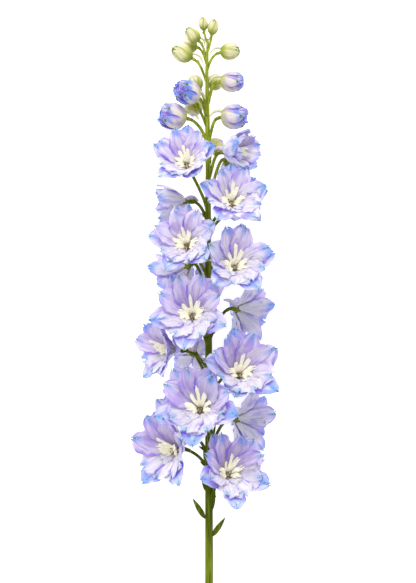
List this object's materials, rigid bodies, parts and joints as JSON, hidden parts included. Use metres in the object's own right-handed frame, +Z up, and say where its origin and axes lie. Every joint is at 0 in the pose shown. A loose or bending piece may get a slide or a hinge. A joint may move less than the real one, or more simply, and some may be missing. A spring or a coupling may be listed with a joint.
{
  "type": "delphinium flower spike",
  "caption": "Cut delphinium spike that lies on a surface: pale lavender-blue flowers with cream eyes crowd round a green stem and give way to closed buds at its tip.",
  "frame": {"origin": "on the surface that the spike lies on, under the middle of its box", "axes": "+Y along the stem from its cut end to its youngest buds, +Z up from the surface, +X to the right seen from above"},
  "size_m": [0.1087, 0.4503, 0.079],
  "materials": {
    "stem": "soft green plant tissue, slightly waxy",
    "petals": "soft matte petals",
    "eye": "soft matte, downy",
    "bud": "soft matte green and cream",
    "violet_bud": "soft matte lilac"
  },
  "bodies": {
    "root": {"stem": "stem", "front_1_petals": "petals", "front_1_eye": "eye", "front_2_petals": "petals", "front_2_eye": "eye", "front_3_petals": "petals", "front_3_eye": "eye", "front_4_petals": "petals", "front_4_eye": "eye", "front_5_petals": "petals", "front_5_eye": "eye", "front_6_petals": "petals", "front_6_eye": "eye", "front_7_petals": "petals", "front_7_eye": "eye", "front_8_petals": "petals", "front_8_eye": "eye", "front_9_petals": "petals", "front_9_eye": "eye", "side_1_petals": "petals", "side_1_eye": "eye", "side_2_petals": "petals", "side_2_eye": "eye", "side_3_petals": "petals", "side_3_eye": "eye", "half_1_petals": "petals", "half_1_eye": "eye", "half_2_petals": "petals", "half_2_eye": "eye", "half_3_petals": "petals", "half_3_eye": "eye", "back_1_petals": "petals", "back_1_eye": "eye", "back_2_petals": "petals", "back_2_eye": "eye", "back_3_petals": "petals", "back_3_eye": "eye", "back_4_petals": "petals", "back_4_eye": "eye", "back_5_petals": "petals", "back_5_eye": "eye", "back_6_petals": "petals", "back_6_eye": "eye", "back_7_petals": "petals", "back_7_eye": "eye", "bud_01": "bud", "bud_02": "bud", "bud_03": "bud", "bud_04": "bud", "bud_05": "bud", "bud_06": "bud", "bud_07": "violet_bud", "bud_08": "violet_bud", "bud_09": "bud", "bud_10": "bud", "bud_11": "violet_bud", "bud_12": "violet_bud", "bud_13": "bud", "bud_14": "bud"}
  },
  "joints": []
}
